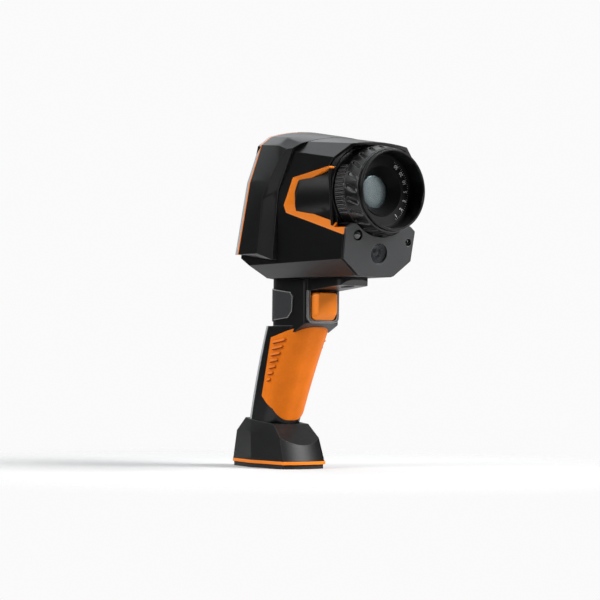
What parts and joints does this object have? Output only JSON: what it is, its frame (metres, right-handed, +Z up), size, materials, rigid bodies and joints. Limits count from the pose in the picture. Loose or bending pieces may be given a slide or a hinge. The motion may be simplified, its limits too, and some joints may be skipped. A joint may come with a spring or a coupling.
{
  "type": "handheld thermal imaging camera",
  "caption": "Pistol-grip thermal imaging camera: faceted dark housing, focusing infrared lens, rear display, side port, trigger, soft grip with battery",
  "frame": {"origin": "centre of the foot's outline on the floor it stands on", "axes": "+Z up, the lens looks along -Y and the display faces +Y, +X is the user's left as they look at the display"},
  "size_m": [0.095, 0.1702, 0.2371],
  "materials": {
    "housing_plastic": "satin",
    "display_plastic": "satin",
    "line_plastic": "satin",
    "bezel_plastic": "satin",
    "screen_cover": "polished",
    "screen_panel": "gloss",
    "frame_metal": "satin",
    "board": "satin",
    "key_rubber": "matte",
    "nav_plastic": "satin",
    "fairing_plastic": "satin",
    "accent_plastic": "satin",
    "lens_black": "satin",
    "lens_trim": "anodised matt",
    "focus_rubber": "matte",
    "infrared_glass": "coated, polished",
    "sensor_ceramic": "satin",
    "plate_plastic": "satin",
    "camera_glass": "polished",
    "lamp_glass": "polished",
    "steel": "brushed",
    "handle_plastic": "satin",
    "grip_rubber": "matte",
    "pad_rubber": "matte",
    "trigger_plastic": "satin",
    "rim_plastic": "satin",
    "switch_plastic": "satin",
    "sole_rubber": "matte",
    "battery_plastic": "satin",
    "battery_cell": "wrapped steel cans",
    "contact_brass": "bright"
  },
  "bodies": {
    "camera_body": {"housing_left": "housing_plastic", "housing_right": "housing_plastic", "display_frame": "display_plastic", "display_line": "line_plastic", "foot_line": "line_plastic", "rear_bezel": "bezel_plastic", "handle_spine": "bezel_plastic", "display_window": "screen_cover", "lcd_module": "screen_panel", "chassis": "frame_metal", "main_board": "board", "keypad_board": "board", "nav_cradle": "nav_plastic", "lens_fairing": "fairing_plastic", "front_bulkhead": "fairing_plastic", "lens_mount": "fairing_plastic", "camera_module": "fairing_plastic", "port_bay": "fairing_plastic", "accent_left": "accent_plastic", "accent_right": "accent_plastic", "lens_barrel": "lens_black", "lens_seal": "focus_rubber", "detector_module": "sensor_ceramic", "shutter_motor": "sensor_ceramic", "front_plate": "plate_plastic", "camera_window": "camera_glass", "lamp_module": "lamp_glass", "port_pin": "steel", "handle_screws": "steel", "trigger_spring": "steel", "handle_left": "handle_plastic", "handle_right": "handle_plastic", "foot_housing": "handle_plastic", "grip_cover": "grip_rubber", "neck_pad": "pad_rubber", "trigger_rim": "rim_plastic", "trigger_switch": "switch_plastic", "sole": "sole_rubber", "battery_contacts": "contact_brass", "tripod_insert": "contact_brass"},
    "trigger_body": {"trigger": "trigger_plastic"},
    "focus_body": {"focus_ring": "focus_rubber"},
    "cell_body": {"lens_cell": "lens_black", "objective_glass": "infrared_glass", "retaining_ring": "lens_trim", "rear_element": "infrared_glass"},
    "bayonet_body": {"bayonet_ring": "lens_black"},
    "shutter_body": {"shutter_blade": "frame_metal"},
    "release_body": {"release_button": "fairing_plastic"},
    "key_left_body": {"key_left": "key_rubber"},
    "key_right_body": {"key_right": "key_rubber"},
    "gimbal_body": {"nav_gimbal": "nav_plastic"},
    "stick_body": {"nav_stick": "nav_plastic"},
    "cap_body": {"nav_cap": "key_rubber"},
    "flap_body": {"port_flap": "key_rubber"},
    "battery_body": {"battery_case": "battery_plastic", "battery_cells": "battery_cell"}
  },
  "joints": [
    {"name": "trigger_pull", "type": "slide", "parent": "camera_body", "child": "trigger_body", "axis": [0, 1, 0], "range_m": [0, 0.003], "stiffness_N_per_m": 900},
    {"name": "focus_turn", "type": "hinge", "parent": "camera_body", "child": "focus_body", "pos_m": [0, -0.1125, 0.1915], "axis": [0, -1, 0], "range_deg": [-60, 60]},
    {"name": "cell_shift", "type": "slide", "parent": "camera_body", "child": "cell_body", "axis": [0, -1, 0], "range_m": [-0.001, 0.001]},
    {"name": "bayonet_turn", "type": "hinge", "parent": "camera_body", "child": "bayonet_body", "pos_m": [0, -0.1125, 0.1915], "axis": [0, -1, 0], "range_deg": [0, 30]},
    {"name": "shutter_swing", "type": "hinge", "parent": "camera_body", "child": "shutter_body", "pos_m": [0, -0.0986, 0.1789], "axis": [0, -1, 0], "range_deg": [0, 60]},
    {"name": "release_press", "type": "slide", "parent": "camera_body", "child": "release_body", "axis": [0, 0.9848, 0.1736], "range_m": [0, 0.0016], "stiffness_N_per_m": 700},
    {"name": "key_left_press", "type": "slide", "parent": "camera_body", "child": "key_left_body", "axis": [0, -0.9659, -0.2588], "range_m": [0, 0.0008], "stiffness_N_per_m": 1200},
    {"name": "key_right_press", "type": "slide", "parent": "camera_body", "child": "key_right_body", "axis": [0, -0.9659, -0.2588], "range_m": [0, 0.0008], "stiffness_N_per_m": 1200},
    {"name": "nav_tilt", "type": "hinge", "parent": "camera_body", "child": "gimbal_body", "pos_m": [0, -0.02459, 0.15875], "axis": [1, 0, 0], "range_deg": [-5, 5], "stiffness_Nm_per_rad": 0.3},
    {"name": "nav_sway", "type": "hinge", "parent": "gimbal_body", "child": "stick_body", "pos_m": [0, -0.02459, 0.15875], "axis": [0, -0.2588, 0.9659], "range_deg": [-5, 5], "stiffness_Nm_per_rad": 0.3},
    {"name": "nav_press", "type": "slide", "parent": "stick_body", "child": "cap_body", "axis": [0, -0.9659, -0.2588], "range_m": [0, 0.0006], "stiffness_N_per_m": 1200},
    {"name": "flap_swing", "type": "hinge", "parent": "camera_body", "child": "flap_body", "pos_m": [0.03182, -0.09687, 0.15449], "axis": [-0.1035, 0.0135, -0.9945], "range_deg": [0, 100]},
    {"name": "battery_draw", "type": "slide", "parent": "camera_body", "child": "battery_body", "axis": [0, 0.3338, -0.9426], "range_m": [0, 0.095]}
  ],
  "couplings": [
    {"joint": "focus_turn", "follows": "cell_shift", "rad_per_m": 1047.2}
  ]
}
